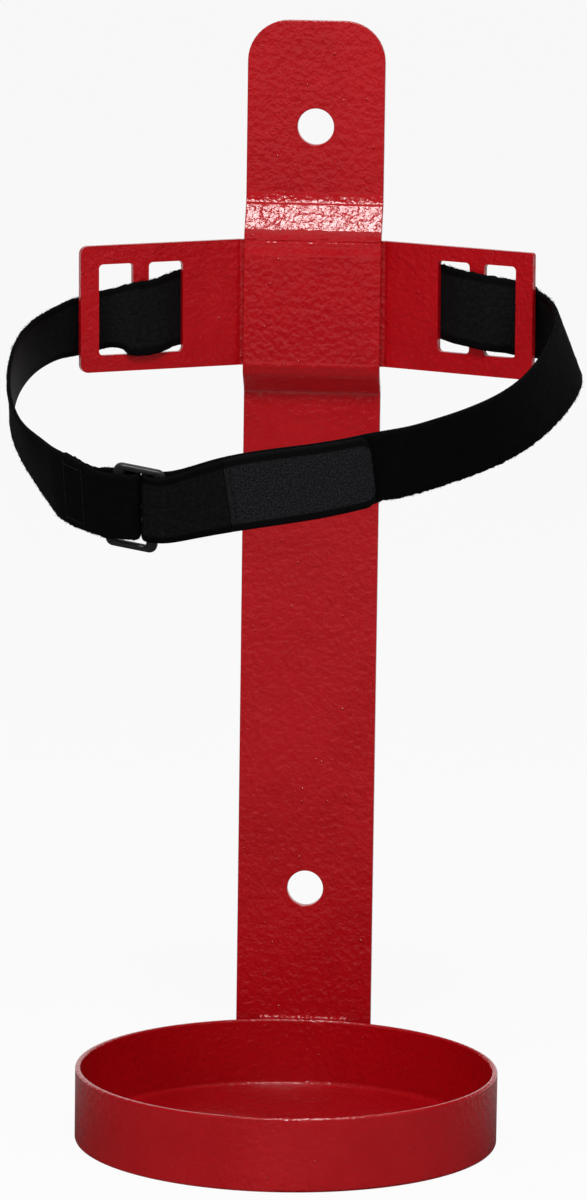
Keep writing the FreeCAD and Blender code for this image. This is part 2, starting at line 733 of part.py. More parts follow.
def main():
    doc = FreeCAD.newDocument("Bracket")
    sheet = make_sheet(doc)
    strip = make_back_strip(doc, sheet)
    plate = make_cross_plate(doc, sheet)
    cup = make_cup(doc, sheet)
    doc.recompute()
    weld = make_weld(doc, sheet, cup, strip)
    loop = LoopLine(sheet)
    ring = make_ring(doc, sheet, loop)
    strap = make_strap(doc, sheet, loop)
    tab = make_hook_tab(doc, sheet, loop)
    doc.recompute()
    parts = [strip, plate, cup, weld, strap, tab, ring]
    check(doc, parts)
    os.makedirs("parts", exist_ok=True)
    print(f"loop length {loop.length:.1f} mm")
    for part in parts:
        part.Shape.exportStep(f"parts/{part.Label}.step")
        box = part.Shape.BoundBox
        print(f"{part.Label}: {box.XLength:.1f} x {box.YLength:.1f} x {box.ZLength:.1f} mm, "
              f"{part.Shape.Volume * MILLI:.2f} cm3")


main()
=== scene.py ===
"""Dresses the fire extinguisher bracket: powder-coated steel, napped tape and a moulded ring.

Everything is in metres in the part's own frame: the origin is the centre of the cup's underside,
+Z runs up and the front faces -Y. The strap's route is written in millimetres, as in the workshop.
"""

from __future__ import annotations

import json
import logging
import math
import random
from dataclasses import dataclass, field
from enum import Enum

import bmesh
import bpy
import numpy as np
from mathutils import Matrix, Vector, noise

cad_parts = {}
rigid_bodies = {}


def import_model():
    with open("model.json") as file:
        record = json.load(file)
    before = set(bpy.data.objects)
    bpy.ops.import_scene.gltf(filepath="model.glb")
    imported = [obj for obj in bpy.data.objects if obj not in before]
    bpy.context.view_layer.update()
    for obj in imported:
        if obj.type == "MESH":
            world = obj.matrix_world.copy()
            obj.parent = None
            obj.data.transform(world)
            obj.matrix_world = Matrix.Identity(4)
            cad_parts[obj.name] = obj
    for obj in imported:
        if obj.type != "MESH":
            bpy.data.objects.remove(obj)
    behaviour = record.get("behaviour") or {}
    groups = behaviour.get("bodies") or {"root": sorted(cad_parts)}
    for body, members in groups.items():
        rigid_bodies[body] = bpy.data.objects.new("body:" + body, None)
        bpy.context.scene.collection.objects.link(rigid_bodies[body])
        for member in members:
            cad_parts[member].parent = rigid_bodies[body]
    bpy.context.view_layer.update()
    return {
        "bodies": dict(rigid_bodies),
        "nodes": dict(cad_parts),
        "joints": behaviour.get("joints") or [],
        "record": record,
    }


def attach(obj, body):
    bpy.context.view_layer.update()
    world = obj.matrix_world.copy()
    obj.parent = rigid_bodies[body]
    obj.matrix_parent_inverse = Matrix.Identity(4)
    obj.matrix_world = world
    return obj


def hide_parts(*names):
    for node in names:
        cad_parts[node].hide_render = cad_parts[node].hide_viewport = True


LOG = logging.getLogger("bracket")
MM = 0.001
Socket = bpy.types.NodeSocket


# Curves and the strap's route


class SmoothLine:
    """A cubic curve through points, with the straight distances between them as its scale."""

    def __init__(self, points: np.ndarray, marks: np.ndarray | None = None) -> None:
        """Solves the curve.

        Args:
            points: One point a row, of any width.
            marks: The scale at each point. Left out, it is the running straight distance.
        """
        self.points = np.asarray(points, dtype=float)
        if marks is None:
            steps = np.linalg.norm(np.diff(self.points, axis=0), axis=1)
            marks = np.concatenate([[0.0], np.cumsum(steps)])
        self.marks = marks
        self.bends = self._solve()

    def _end_slope(self, marks: np.ndarray, points: np.ndarray) -> np.ndarray:
        """Slope at the first of four points, from the cubic through them."""
        return np.polyfit(marks - marks[0], points, 3)[-2]

    def _solve(self) -> np.ndarray:
        """Second slopes at the points, for a curve whose ends follow their nearest four points.

        Returns:
            One row of second slopes for each point.
        """
        x, y = self.marks, self.points
        count, gap = len(x), np.diff(x)
        rise = np.diff(y, axis=0) / gap[:, None]
        start = self._end_slope(x[:4], y[:4])
        end = -self._end_slope(-x[::-1][:4], y[::-1][:4])
        matrix = np.zeros((count, count))
        right = np.zeros_like(y)
        for i in range(1, count - 1):
            matrix[i, i - 1:i + 2] = gap[i - 1], 2 * (gap[i - 1] + gap[i]), gap[i]
            right[i] = 6 * (rise[i] - rise[i - 1])
        matrix[0, :2] = 2 * gap[0], gap[0]
        right[0] = 6 * (rise[0] - start)
        matrix[-1, -2:] = gap[-1], 2 * gap[-1]
        right[-1] = 6 * (end - rise[-1])
        return np.linalg.solve(matrix, right)

    def at(self, where: np.ndarray, slope: bool = False) -> np.ndarray:
        """Points, or slopes, at places along the scale.

        Args:
            where: Places along the scale.
            slope: Whether to give the slopes in place of the points.

        Returns:
            One row for each place.
        """
        where = np.atleast_1d(where)
        i = np.clip(np.searchsorted(self.marks, where) - 1, 0, len(self.marks) - 2)
        gap = (self.marks[i + 1] - self.marks[i])[:, None]
        b = (where - self.marks[i])[:, None] / gap
        a = 1 - b
        low, high = self.points[i], self.points[i + 1]
        bend_low, bend_high = self.bends[i], self.bends[i + 1]
        if slope:
            curve = (1 - 3 * a * a) * bend_low + (3 * b * b - 1) * bend_high
            return (high - low) / gap + curve * gap / 6
        curve = (a ** 3 - a) * bend_low + (b ** 3 - b) * bend_high
        return a * low + b * high + curve * gap * gap / 6


def unit(rows: np.ndarray) -> np.ndarray:
    """Scales each row to unit length."""
    return rows / np.linalg.norm(rows, axis=-1, keepdims=True)


def square_to(rows: np.ndarray, directions: np.ndarray) -> np.ndarray:
    """The unit part of each row that is square to its direction."""
    along = np.sum(rows * directions, axis=-1, keepdims=True)
    return unit(rows - directions * along)


@dataclass(frozen=True)
class Steel:
    """Sizes of the steel that the strap is threaded through, in millimetres."""

    plate_back: float = 75.0
    plate_thick: float = 2.0
    fold_x: float = 27.0
    wing_bend: float = 28.0


@dataclass
class TapeRoute:
    """Where the tape runs, in millimetres, from its sewn tail to its folded-back end.

    The loop's stations are x, y, z, the tape's lean from upright in degrees and the share of its
    width that it shows. The weave is the distance along a wing and behind its middle, then height,
    lean and share of the width on the left and on the right. The stations and most of the weave's
    heights were fitted by least squares to the tape's edges in the photograph and rounded, as in the
    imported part. They weren't chosen by hand.
    """

    width: float = 27.4
    thick: float = 1.8
    ring_station: int = 5
    ring_flat: float = 11.0
    ring_bar_at: float = 7.25
    ring_bar_half: float = 1.3
    ring_turn_at: float = 0.7
    sewn_reach: float = 5.15
    bar_slack: float = 1.4
    tail_drop: float = 0.9
    tail_long: float = 25.0
    fold_long: float = 32.5
    tab_reach: float = 84.5
    gap: float = 0.2
    seam: float = 0.1
    step: float = 7.0
    turn_steps: int = 6
    steel: Steel = field(default_factory=Steel)
    loop_stations: tuple[tuple[float, ...], ...] = (
        (-93.6, 41.8, 287.9, -12.5, 0.78),
        (-103.0, 6.4, 275.1, -2.5, 1),
        (-91.2, -39.5, 257.0, 19.9, 1),
        (-70.7, -71.6, 248.9, 12.2, 0.96),
        (-58.72, -80.03, 246.69, 18.3, 0.92),
        (-48.8, -81.2, 246.24, 18.3, 0.92),
        (-38.88, -82.37, 245.79, 18.3, 0.92),
        (-21.0, -78.0, 248.8, 15.4, 1),
        (16.1, -72.2, 255.0, 15.0, 1),
        (48.9, -61.0, 262.2, 18.7, 1),
        (78.6, -40.4, 272.0, 11.0, 1),
        (94.3, -5.8, 284.7, -10.5, 1),
        (89.9, 43.5, 295.0, -20.2, 1),
    )
    weave: tuple[tuple, ...] = (
        (62.0, 6.0, (290.6, -9, 0.8), (295.7, -15, 1)),
        (56.5, 4.8, (292.0, -8, 0.775), (296.6, -9.5, 1)),
        (53.0, 3.0, (293.1, -6, 0.77), (297.7, -6.5, 1)),
        (49.5, 0.7, (293.8, -4, 0.8), (298.3, -3.5, 1)),
        (46.0, -1.3, (294.1, -1.5, 0.89), (298.8, -1, 1)),
        (43.0, -2.2, (293.9, 0, 0.985), (299.2, 0, 1)),
        (39.5, -2.2, (293.7, 0, 1), (299.6, 0, 1)),
        (36.0, -2.2, (294.2, 0, 1), (300.0, 0, 1)),
        (32.5, -1.9, (294.9, 0, 0.99), (300.3, 0, 1)),
        (29.2, -0.7, (295.8, 0, 0.99), (300.5, 0, 1)),
        (26.0, 0.9, (296.3, 0, 1), (300.8, 0, 1)),
        (22.5, 2.2, (296.7, 0, 1), (301.1, 0, 1)),
        (17.0, 2.2, (297.1, 0, 1), (301.4, 0, 1)),
        (9.0, 2.1, (297.3, 0, 1), (301.6, 0, 1)),
        (4.0, 2.2, (297.4, 0, 1), (301.7, 0, 1)),
    )
    middle: tuple[tuple[float, float], ...] = (
        (-27.0, 297.5), (-24.0, 297.7), (-19.0, 298.0), (-12.0, 298.5), (0.0, 299.5),
        (12.0, 300.5), (19.0, 301.0), (24.0, 301.4), (27.0, 301.6),
    )

    def __post_init__(self) -> None:
        """Lays out the loop, then the whole tape."""
        self._lay_loop()
        stations = self._tape_stations()
        self.line = SmoothLine(np.array([s[0] for s in stations]))
        marks = self.line.marks
        forward = unit(self.line.at(marks, slope=True))
        half = np.array([s[2] for s in stations])[:, None]
        across = square_to(np.array([s[1] for s in stations]), forward) * half
        self.edge = SmoothLine(self.line.points + across, marks)
        self.length = float(marks[-1])

    def wing_station(self, side: int, row: tuple) -> tuple[np.ndarray, np.ndarray, float]:
        """A point of the tape beside a wing.

        Args:
            side: -1 on the left and 1 on the right.
            row: One row of the weave.

        Returns:
            The tape's centre, its width direction and its half width.
        """
        reach, behind = row[:2]
        height, lean, share = row[2] if side < 0 else row[3]
        bend, tilt = math.radians(self.steel.wing_bend), math.radians(lean)
        out = np.array([side * math.cos(bend), -math.sin(bend), 0])
        rear = np.array([side * math.sin(bend), math.cos(bend), 0])
        root_y = self.steel.plate_back - self.steel.plate_thick / 2
        root = np.array([side * self.steel.fold_x, root_y, height])
        across = np.array([0, 0, 1]) * math.cos(tilt) + rear * math.sin(tilt)
        return root + out * reach + rear * behind, across, share * self.width / 2

    def _lay_loop(self) -> None:
        """Makes the free run from the left rail, round the front, to the right rail."""
        left = self.wing_station(-1, self.weave[0])
        right = self.wing_station(1, self.weave[0])
        points = [left[0]] + [np.array(s[:3]) for s in self.loop_stations] + [right[0]]
        self.loop = SmoothLine(np.array(points))
        forward = unit(self.loop.at(self.loop.marks, slope=True))
        upright = square_to(np.tile([0.0, 0.0, 1.0], (len(points), 1)), forward)
        side = np.cross(forward, upright)
        lean = np.radians([0.0] + [s[3] for s in self.loop_stations] + [0.0])[:, None]
        across = upright * np.cos(lean) + side * np.sin(lean)
        across[0] = square_to(left[1], forward[0])
        across[-1] = square_to(right[1], forward[-1])
        shares = [s[4] * self.width / 2 for s in self.loop_stations]
        half = np.array([left[2]] + shares + [right[2]])[:, None]
        self.loop_tips = SmoothLine(self.loop.points + across * half, self.loop.marks)
        fine = np.linspace(0, self.loop.marks[-1], 6000)
        steps = np.linalg.norm(np.diff(self.loop.at(fine), axis=0), axis=1)
        self._loop_scale = fine
        self._loop_run = np.concatenate([[0.0], np.cumsum(steps)])
        self.loop_length = float(self._loop_run[-1])
        ring_mark = self.loop.marks[self.ring_station + 1]
        self.ring_at = float(np.interp(ring_mark, fine, self._loop_run))
        self.fold_end = self.ring_at + self.fold_long
        self.tab_end = self.ring_at + self.tab_reach

    def loop_frame(self, distance: float) -> tuple[np.ndarray, np.ndarray, np.ndarray, float]:
        """Centre, forward and width directions and half width at a distance along the loop."""
        mark = np.interp(distance, self._loop_run, self._loop_scale)
        centre = self.loop.at(mark)[0]
        forward = unit(self.loop.at(mark, slope=True)[0])
        reach = self.loop_tips.at(mark)[0] - centre
        reach = reach - forward * np.dot(reach, forward)
        half = float(np.linalg.norm(reach))
        return centre, forward, reach / half, half

    def loop_station(self, distance: float, lift: float) -> tuple[np.ndarray, np.ndarray, float]:
        """A point at a distance along the loop, lifted outwards; straight at the ring."""
        off = distance - self.ring_at
        flat = abs(off) <= self.ring_flat
        centre, forward, across, half = self.loop_frame(self.ring_at if flat else distance)
        if flat:
            centre = centre + forward * off
        return centre + np.cross(forward, across) * lift, across, half

    def spaced(self, start: float, end: float, step: float = 0.0) -> list[float]:
        """Evenly spaced distances from start to end, both included."""
        count = max(1, round(abs(end - start) / (step or self.step)))
        return [start + (end - start) * i / count for i in range(count + 1)]

    def turn(self, centre: float, radius: float, towards: int) -> list[tuple[float, float]]:
        """Half a turn round a ring bar, as distances and lifts."""
        angles = [math.pi * (i / self.turn_steps - 0.5) for i in range(self.turn_steps + 1)]
        return [(centre + towards * radius * math.cos(a), radius * math.sin(a)) for a in angles]

    def _tape_stations(self) -> list[tuple[np.ndarray, np.ndarray, float]]:
        """The whole tape: tail, left bar, left run, weave, right run, right bar and fold."""
        layer = (self.thick + self.gap) / 2
        radius = self.ring_bar_half + self.gap + self.thick / 2
        left, right = self.ring_at - self.ring_bar_at, self.ring_at + self.ring_bar_at
        tail_at, under = left - self.tail_long, -2 * layer
        tail = [(d, -layer - 0.05) for d in self.spaced(tail_at, left - 13, 3)]
        tail += [(left - 10, -layer - 0.35), (left - 6, -radius + 0.5), (left - 2.2, -radius)]
        tail += [(left + 2.5, -radius)]
        sewn = []
        for distance, lift in tail:
            centre, across, half = self.loop_station(distance, lift)
            drop = self.tail_drop * min(1.0, (left + 2.5 - distance) / 12)
            sewn.append((centre - across * drop, across, half))
        before = self.turn(left + self.ring_turn_at + self.sewn_reach, radius, 1)
        before += [(d, -lift) for d, lift in reversed(tail)]
        before += [(tail_at - 4, layer + 0.05), (tail_at - 10, 0.5)]
        before += [(d, 0.0) for d in self.spaced(tail_at - 18, self.step)]
        after = [(d, 0.0) for d in self.spaced(self.loop_length - self.step, self.tab_end + 16)]
        after += [(d, under) for d in self.spaced(self.tab_end, right + 16)]
        after += [(right + 10, under - 0.15), (right + 6, 0.2 - radius), (right + 2.2, -radius)]
        after += self.turn(right - self.ring_turn_at - self.bar_slack, radius, -1)
        after += [(right + 2.2, radius), (right + 6, radius - 0.9), (right + 10, 0.6)]
        after += [(right + 15, 0.1)]
        after += [(d, 0.0) for d in self.spaced(right + 22, self.fold_end - 1, 3) + [self.fold_end]]
        behind = self.steel.plate_back + self.thick / 2 + 2 * self.gap
        weave = [self.wing_station(-1, row) for row in self.weave]
        upright = np.array([0.0, 0.0, 1.0])
        weave += [(np.array([x, behind, z]), upright, self.width / 2) for x, z in self.middle]
        weave += [self.wing_station(1, row) for row in reversed(self.weave)]
        here = [self.loop_station(*row) for row in before]
        return sewn + here + weave + [self.loop_station(*row) for row in after]

    def frames(self, where: np.ndarray) -> tuple[np.ndarray, np.ndarray, np.ndarray, np.ndarray]:
        """Centres, width directions, outward faces and half widths along the tape."""
        centre = self.line.at(where)
        forward = unit(self.line.at(where, slope=True))
        reach = self.edge.at(where) - centre
        reach = reach - forward * np.sum(reach * forward, axis=1, keepdims=True)
        half = np.linalg.norm(reach, axis=1, keepdims=True)
        across = reach / half
        return centre, across, np.cross(forward, across), half

    def tab_frames(self, where: np.ndarray) -> tuple[np.ndarray, np.ndarray, np.ndarray, np.ndarray]:
        """The same along the hook tab, measured from the seam."""
        rows = [self.loop_frame(self.fold_end + self.seam + w) for w in where]
        centre, forward, across, half = (np.array(column) for column in zip(*rows))
        return centre, across, np.cross(forward, across), half[:, None]


# Shaders


class NodeBench:
    """Adds nodes to a shader tree and wires them."""

    def __init__(self, tree: bpy.types.NodeTree) -> None:
        """Keeps the tree and its nodes."""
        self.tree = tree
        self.nodes = tree.nodes

    def add(self, kind: str, values: dict[str | int, object] | None = None,
            **settings: object) -> bpy.types.Node:
        """Adds a node.

        Args:
            kind: The node's type, without its ShaderNode prefix.
            values: Input names or numbers, with a value or an output socket for each.
            settings: Properties of the node.

        Returns:
            The new node.
        """
        node = self.nodes.new(kind if kind.startswith("Node") else "ShaderNode" + kind)
        for name, setting in settings.items():
            setattr(node, name, setting)
        self.feed(node, values or {})
        return node

    def plug(self, socket: Socket, value: object) -> None:
        """Sets an input, or links it where the value is another node's output."""
        if isinstance(value, Socket):
            self.tree.links.new(value, socket)
        else:
            socket.default_value = value

    def feed(self, node: bpy.types.Node, values: dict[str | int, object]) -> None:
        """Sets or links several inputs of a node."""
        for name, value in values.items():
            self.plug(node.inputs[name], value)

    def group(self, tree: bpy.types.NodeTree, values: dict) -> bpy.types.Node:
        """Places a shader group with its values."""
        return self.add("Group", values, node_tree=tree)

    def place(self, kind: str = "Object") -> Socket:
        """Gives the place that a texture reads: in the object, or flat on the tape."""
        return self.add("TexCoord").outputs[kind]

    def math(self, kind: str, first: object, second: object) -> Socket:
        """Adds a Math node and gives its output."""
        return self.add("Math", {0: first, 1: second}, operation=kind).outputs[0]

    def noise(self, where: Socket, scale: object, detail: float, rough: float = 0.5) -> Socket:
        """Adds a noise and gives its value from 0 to 1."""
        values = {"Vector": where, "Scale": scale, "Detail": detail, "Roughness": rough}
        return self.add("TexNoise", values).outputs[0]

    def ramp(self, value: Socket, low: float, high: float, start: float = 0.0,
             end: float = 1.0) -> Socket:
        """Maps a value from one range to another, smoothly and within its limits."""
        values = {"Value": value, "From Min": low, "From Max": high, "To Min": start, "To Max": end}
        node = self.add("MapRange", values, interpolation_type="SMOOTHSTEP")
        return node.outputs[0]

    def blend(self, share: object, first: object, second: object) -> Socket:
        """Mixes two colours by a share."""
        node = self.add("Mix", data_type="RGBA")
        for name, value in (("Factor_Float", share), ("A_Color", first), ("B_Color", second)):
            self.plug(next(s for s in node.inputs if s.identifier == name), value)
        return next(s for s in node.outputs if s.identifier == "Result_Color")


class GroupMaker:
    """The shader groups that more than one finish uses, each built once."""

    def __init__(self) -> None:
        """Builds the groups."""
        self.peel = self._peel()
        self.mottle = self._mottle()
        self.weave = self._weave()

    def _new(self, name: str, numbers: dict[str, float], output: str) -> tuple:
        """Starts a group with a vector input, number inputs and one number output.

        Args:
            name: The group's name.
            numbers: Names and starting values of the number inputs.
            output: The output's name.

        Returns:
            The group, its bench, its input node and its output node.
        """
        group = bpy.data.node_groups.new(name, "ShaderNodeTree")
        group.interface.new_socket("Vector", in_out="INPUT", socket_type="NodeSocketVector")
        for word, value in numbers.items():
            socket = group.interface.new_socket(word, in_out="INPUT", socket_type="NodeSocketFloat")
            socket.default_value = value
        group.interface.new_socket(output, in_out="OUTPUT", socket_type="NodeSocketFloat")
        bench = NodeBench(group)
        return group, bench, bench.add("NodeGroupInput"), bench.add("NodeGroupOutput")

    def _peel(self) -> bpy.types.NodeTree:
        """Orange peel of sprayed or powdered paint: broad ripples, fine grain and rare nibs."""
        numbers = {"Ripple": 380.0, "Grain": 1500.0, "Nibs": 260.0}
        group, bench, given, out = self._new("Orange peel", numbers, "Height")
        where = given.outputs["Vector"]
        broad = bench.noise(where, given.outputs["Ripple"], 1.5)
        fine = bench.noise(where, given.outputs["Grain"], 2.0)
        cells = bench.add("TexVoronoi", {"Vector": where, "Scale": given.outputs["Nibs"]})
        nib = bench.ramp(cells.outputs["Distance"], 0.16, 0.0)
        rare = bench.ramp(bench.noise(where, 120.0, 0.0), 0.56, 0.62)
        nibs = bench.math("MULTIPLY", nib, rare)
        soft = bench.math("ADD", broad, bench.math("MULTIPLY", fine, 0.18))
        height = bench.math("ADD", soft, bench.math("MULTIPLY", nibs, 0.9))
        bench.feed(out, {"Height": height})
        return group

    def _mottle(self) -> bpy.types.NodeTree:
        """Slow unevenness of a colour, as a share from 0 to 1."""
        group, bench, given, out = self._new("Mottle", {"Scale": 30.0, "Bite": 0.5}, "Share")
        where = given.outputs["Vector"]
        large = bench.noise(where, given.outputs["Scale"], 3.0)
        small = bench.noise(where, bench.math("MULTIPLY", given.outputs["Scale"], 7.0), 2.0)
        both = bench.math("ADD", large, bench.math("MULTIPLY", small, given.outputs["Bite"]))
        share = bench.ramp(bench.math("DIVIDE", both, 1.3), 0.3, 0.75)
        bench.feed(out, {"Share": share})
        return group

    def _weave(self) -> bpy.types.NodeTree:
        """Ribbed weave of narrow tape, from a flat place on it in metres."""
        numbers = {"Warp": 1400.0, "Weft": 900.0, "Fray": 2500.0}
        group, bench, given, out = self._new("Tape weave", numbers, "Height")
        split = bench.add("SeparateXYZ", {0: given.outputs["Vector"]})
        turn = 2 * math.pi
        wobble = bench.noise(given.outputs["Vector"], given.outputs["Fray"], 2.0)
        weft_rate = bench.math("MULTIPLY", given.outputs["Weft"], turn)
        warp_rate = bench.math("MULTIPLY", given.outputs["Warp"], turn)
        along = bench.math("MULTIPLY", split.outputs[0], weft_rate)
        over = bench.math("MULTIPLY", split.outputs[1], warp_rate)
        weft = bench.math("SINE", bench.math("ADD", along, bench.math("MULTIPLY", wobble, 4.0)), 0.0)
        warp = bench.math("SINE", over, 0.0)
        grid = bench.math("MULTIPLY", weft, warp)
        height = bench.math("ADD", bench.math("MULTIPLY", grid, 0.5), wobble)
        bench.feed(out, {"Height": height})
        return group


class Finish:
    """What every finish shares: a material with a Principled shader and a bump."""

    def start(self, name: str) -> tuple[bpy.types.Material, NodeBench, bpy.types.Node]:
        """Starts a material.

        Args:
            name: The material's name.

        Returns:
            The material, its bench and its Principled shader.
        """
        material = bpy.data.materials.new(name)
        material.use_nodes = True
        bench = NodeBench(material.node_tree)
        return material, bench, bench.nodes["Principled BSDF"]

    def bump(self, bench: NodeBench, shader: bpy.types.Node, height: Socket, depth: float) -> None:
        """Feeds a height, scaled to a depth in metres, to the shader's normal."""
        node = bench.add("Bump", {"Strength": 1.0, "Distance": depth, "Height": height})
        bench.feed(shader, {"Normal": node.outputs[0]})


@dataclass(frozen=True)
class PowderCoat(Finish):
    """Glossy red powder coat with orange peel and a few nibs.

    Presses are rows of lowest and highest place on Z and the depth between them, in millimetres.
    They soften the strip's two offsets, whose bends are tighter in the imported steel.
    """

    name: str = "red_powder_coat"
    red: tuple[float, float, float, float] = (0.44, 0.0006, 0.0045, 1.0)
    deep: tuple[float, float, float, float] = (0.38, 0.0004, 0.0034, 1.0)
    peel_depth: float = 0.42
    ripple: float = 460.0
    presses: tuple[tuple[float, float, float], ...] = ()
    crease: tuple[float, float] = (0.0, 0.0)
    crease_depth: float = 0.75

    def build(self, groups: GroupMaker) -> bpy.types.Material:
        """Builds the material from object coordinates."""
        material, bench, shader = self.start(self.name)
        where = bench.place()
        peel = bench.group(groups.peel, {"Vector": where, "Ripple": self.ripple})
        tone = bench.group(groups.mottle, {"Vector": where, "Scale": 22.0})
        colour = bench.blend(tone.outputs[0], self.deep, self.red)
        rough = bench.ramp(tone.outputs[0], 0.0, 1.0, 0.15, 0.22)
        bench.feed(shader, {"Base Color": colour, "Roughness": rough, "Specular IOR Level": 0.55,
                            "Coat Weight": 0.2, "Coat Roughness": 0.55})
        height = bench.math("MULTIPLY", peel.outputs["Height"], self.peel_depth)
        for press in self._pressed(bench, where):
            height = bench.math("ADD", height, press)
        self.bump(bench, shader, height, MM)
        return material

    def _pressed(self, bench: NodeBench, where: Socket) -> list[Socket]:
        """Heights, in millimetres, of the rounded bends and of the buckled slope between them."""
        if not self.presses:
            return []
        place = bench.add("SeparateXYZ", {0: where}).outputs["Z"]
        low, high = (z * MM for z in self.crease)
        squeezed = bench.add("Mapping", {"Vector": where, "Scale": (70.0, 70.0, 230.0)})
        wavy = bench.noise(squeezed.outputs[0], 1.0, 2.0, 0.5)
        above, below = bench.ramp(place, low, low + MM), bench.ramp(place, high, high - MM)
        depth = bench.math("MULTIPLY", bench.math("MULTIPLY", above, below), self.crease_depth)
        bends = [bench.ramp(place, a * MM, b * MM, 0.0, deep) for a, b, deep in self.presses]
        return [bench.math("MULTIPLY", wavy, depth)] + bends


class TapeFace(Enum):
    """Which finish a face of the tape has."""

    PILE = 0
    BACK = 1


@dataclass(frozen=True)
class PileTape(Finish):
    """Napped loop pile: matt near-black with a soft sheen and a tangled surface."""

    dark: tuple[float, float, float, float] = (0.0012, 0.0012, 0.0014, 1.0)
    light: tuple[float, float, float, float] = (0.0045, 0.0045, 0.005, 1.0)
    tangle: float = 1700.0
    depth: float = 0.0004

    def build(self, groups: GroupMaker) -> bpy.types.Material:
        """Builds the material from the tape's flat coordinates."""
        material, bench, shader = self.start("loop_pile")
        where = bench.place("UV")
        curls = bench.noise(where, self.tangle, 4.0, 0.7)
        tone = bench.group(groups.mottle, {"Vector": where, "Scale": 160.0, "Bite": 0.9})
        share = bench.math("MULTIPLY", curls, tone.outputs[0])
        colour = bench.blend(share, self.dark, self.light)
        bench.feed(shader, {"Base Color": colour, "Roughness": 0.95, "Specular IOR Level": 0.03,
                            "Sheen Weight": 0.004, "Sheen Roughness": 0.6})
        self.bump(bench, shader, curls, self.depth)
        return material


@dataclass(frozen=True)
class SmoothTape(Finish):
    """Smooth woven back of a tape, with paler ground between darker selvages."""

    name: str = "tape_back"
    ground: tuple[float, float, float, float] = (0.0045, 0.0045, 0.005, 1.0)
    fleck: tuple[float, float, float, float] = (0.009, 0.009, 0.0098, 1.0)
    selvage: tuple[float, float, float, float] = (0.0025, 0.0025, 0.003, 1.0)
    selvage_at: float = 0.0105
    fleck_scale: float = 700.0
    depth: float = 0.00012

    def build(self, groups: GroupMaker) -> bpy.types.Material:
        """Builds the material from the tape's flat coordinates."""
        material, bench, shader = self.start(self.name)
        where = bench.place("UV")
        weave = bench.group(groups.weave, {"Vector": where})
        flecks = bench.ramp(bench.noise(where, self.fleck_scale, 3.0, 0.65), 0.38, 0.68)
        split = bench.add("SeparateXYZ", {0: where})
        off = bench.math("ABSOLUTE", split.outputs[1], 0.0)
        border = bench.ramp(off, self.selvage_at, self.selvage_at + 0.0008)
        face = bench.blend(flecks, self.ground, self.fleck)
        colour = bench.blend(border, face, self.selvage)
        bench.feed(shader, {"Base Color": colour, "Roughness": 0.7, "Specular IOR Level": 0.05})
        self.bump(bench, shader, weave.outputs["Height"], self.depth)
        return material


@dataclass(frozen=True)
class Thread(Finish):
    """Sewing thread and loose fibres."""

    name: str = "thread"
    colour: tuple[float, float, float, float] = (0.0035, 0.0035, 0.004, 1.0)

    def build(self, groups: GroupMaker) -> bpy.types.Material:
        """Builds the material from object coordinates."""
        material, bench, shader = self.start(self.name)
        where = bench.place()
        tone = bench.group(groups.mottle, {"Vector": where, "Scale": 900.0})
        dark = tuple(0.5 * c for c in self.colour[:3]) + (1.0,)
        colour = bench.blend(tone.outputs[0], dark, self.colour)
        bench.feed(shader, {"Base Color": colour, "Roughness": 0.8})
        return material


@dataclass(frozen=True)
class MouldedPlastic(Finish):
    """Black moulded plastic with a faint spark-eroded grain."""

    colour: tuple[float, float, float, float] = (0.011, 0.011, 0.012, 1.0)
    worn: tuple[float, float, float, float] = (0.022, 0.022, 0.023, 1.0)

    def build(self, groups: GroupMaker) -> bpy.types.Material:
        """Builds the material from object coordinates."""
        material, bench, shader = self.start("black_plastic")
        where = bench.place()
        tone = bench.group(groups.mottle, {"Vector": where, "Scale": 250.0})
        grain = bench.group(groups.peel, {"Vector": where, "Ripple": 1800.0, "Grain": 5000.0})
        colour = bench.blend(tone.outputs[0], self.colour, self.worn)
        rough = bench.ramp(tone.outputs[0], 0.0, 1.0, 0.28, 0.42)
        bench.feed(shader, {"Base Color": colour, "Roughness": rough})
        self.bump(bench, shader, grain.outputs["Height"], 0.00003)
        return material


